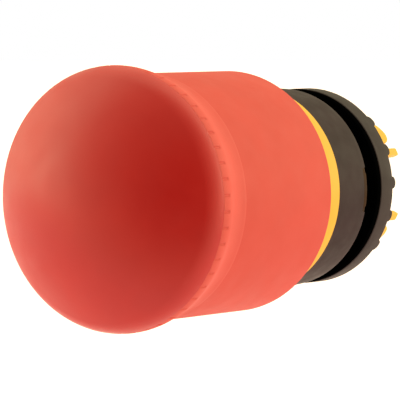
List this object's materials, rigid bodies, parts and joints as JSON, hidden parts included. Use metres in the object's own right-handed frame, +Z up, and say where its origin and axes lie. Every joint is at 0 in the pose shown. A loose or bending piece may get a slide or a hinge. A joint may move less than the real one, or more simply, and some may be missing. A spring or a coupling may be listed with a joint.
{
  "type": "emergency stop button",
  "caption": "Panel-mount emergency stop button: red mushroom head on a long sleeve, yellow ring, bezel, threaded neck and ring nut; pull to release.",
  "frame": {"origin": "centre of the mounting hole on the panel's front plane, which is the rear face of the panel gasket", "axes": "-Y out of the panel towards the user, +Y into the panel along the neck, +Z up, +X to the right seen from the front"},
  "size_m": [0.038, 0.0708, 0.038],
  "materials": {
    "red_gloss": "glossy moulded red plastic, darker and smoother than the sleeve",
    "red_satin": "satin moulded orange-red plastic",
    "yellow_plastic": "satin moulded signal-yellow plastic",
    "bezel_plastic": "satin warm black moulded plastic",
    "nut_plastic": "satin dark grey-brown moulded plastic",
    "black_plastic": "matte black moulded plastic",
    "gasket_rubber": "matte dark brown moulded rubber",
    "seal_rubber": "matte black rubber",
    "acetal": "satin natural acetal",
    "steel": "zinc-plated steel",
    "spring_steel": "drawn spring wire and strip",
    "sintered_steel": "sintered steel, oiled"
  },
  "bodies": {
    "housing": {"housing_barrel": "black_plastic", "bezel": "bezel_plastic", "indicator_ring": "yellow_plastic", "panel_gasket": "gasket_rubber", "body_seal": "seal_rubber", "latch_ring": "acetal", "guide_bush": "acetal", "shaft_seal": "seal_rubber", "seal_washer": "steel", "return_spring": "spring_steel"},
    "button": {"grip_sleeve": "red_satin", "mushroom_cap": "red_gloss", "stem": "acetal", "head_screw": "steel", "head_washer": "steel", "spring_cup": "steel", "plunger": "yellow_plastic", "plunger_clip": "spring_steel", "pawl_spring": "spring_steel"},
    "right_latch": {"pawl_right": "sintered_steel"},
    "left_latch": {"pawl_left": "sintered_steel"},
    "clamp": {"clamp_washer": "black_plastic"},
    "nut": {"ring_nut": "nut_plastic"}
  },
  "joints": [
    {"name": "press", "type": "slide", "parent": "housing", "child": "button", "axis": [0, 1, 0], "range_m": [0, 0.0055], "deforming": ["return_spring"]},
    {"name": "right_pawl_slide", "type": "slide", "parent": "button", "child": "right_latch", "axis": [1, 0, 0], "range_m": [0, 0.00067], "deforming": ["pawl_spring"]},
    {"name": "left_pawl_slide", "type": "slide", "parent": "button", "child": "left_latch", "axis": [-1, 0, 0], "range_m": [0, 0.00067]},
    {"name": "clamp_slide", "type": "slide", "parent": "housing", "child": "clamp", "axis": [0, 1, 0], "range_m": [-0.00161, 0.00301]},
    {"name": "nut_turn", "type": "hinge", "parent": "clamp", "child": "nut", "pos_m": [0, 0, 0], "axis": [0, 1, 0], "range_deg": [-384, 720]}
  ],
  "couplings": [
    {"joint": "right_pawl_slide", "follows": "press", "ratio": 0.12},
    {"joint": "left_pawl_slide", "follows": "press", "ratio": 0.12},
    {"joint": "clamp_slide", "follows": "nut_turn", "m_per_rad": 0.00023873}
  ]
}
